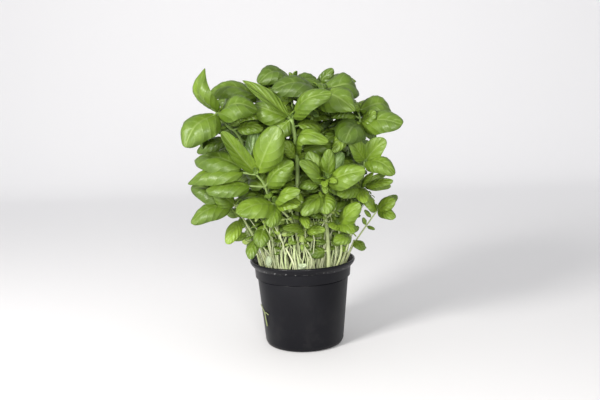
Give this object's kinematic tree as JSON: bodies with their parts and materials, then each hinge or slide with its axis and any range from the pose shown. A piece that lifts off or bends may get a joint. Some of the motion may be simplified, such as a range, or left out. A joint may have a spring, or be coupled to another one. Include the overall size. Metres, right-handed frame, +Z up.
{
  "type": "potted basil plant",
  "caption": "Round tapered plastic herb pot filled with peat, with a dense clump of leafy basil stems and young seedlings standing in it.",
  "frame": {"origin": "centre of the pot's flat underside", "axes": "+Z up out of the pot, -Y towards the front of the clump as pictured, +X to its right"},
  "size_m": [0.1967, 0.1937, 0.2732],
  "materials": {
    "pot_plastic": "satin, charcoal black",
    "peat": "dark crumbly peat, slightly moist",
    "basil_green": "waxy satin leaves, paler underneath",
    "seedling_green": "satin, pale yellow green"
  },
  "bodies": {
    "root": {"pot": "pot_plastic", "soil": "peat", "stray_sprout": "seedling_green", "stem_front_centre": "basil_green", "stem_middle": "basil_green", "stem_front_right": "basil_green", "stem_right": "basil_green", "stem_front_low": "basil_green", "stem_left": "basil_green", "stem_upper_right": "basil_green", "stem_top_right": "basil_green", "stem_top_middle": "basil_green", "stem_top_left": "basil_green", "stem_inner_left": "basil_green", "stem_inner_right": "basil_green", "stem_inner_low": "basil_green", "stem_low_left": "basil_green", "stem_side_right": "basil_green", "stem_side_left": "basil_green", "stem_low_right": "basil_green", "seedling_rim_left": "seedling_green", "seedling_front_left": "seedling_green", "seedling_rim_right": "seedling_green", "seedling_front_right": "seedling_green", "stem_back_1": "basil_green", "stem_back_2": "basil_green", "stem_back_3": "basil_green", "stem_back_4": "basil_green", "stem_back_5": "basil_green", "stem_back_6": "basil_green", "stem_back_7": "basil_green", "stem_back_8": "basil_green", "stem_back_9": "basil_green", "stem_back_10": "basil_green", "seedling_1": "seedling_green", "seedling_2": "seedling_green", "seedling_3": "seedling_green", "seedling_5": "seedling_green", "seedling_6": "seedling_green", "seedling_7": "seedling_green", "seedling_9": "seedling_green", "seedling_10": "seedling_green", "seedling_11": "seedling_green", "seedling_14": "seedling_green"}
  },
  "joints": []
}
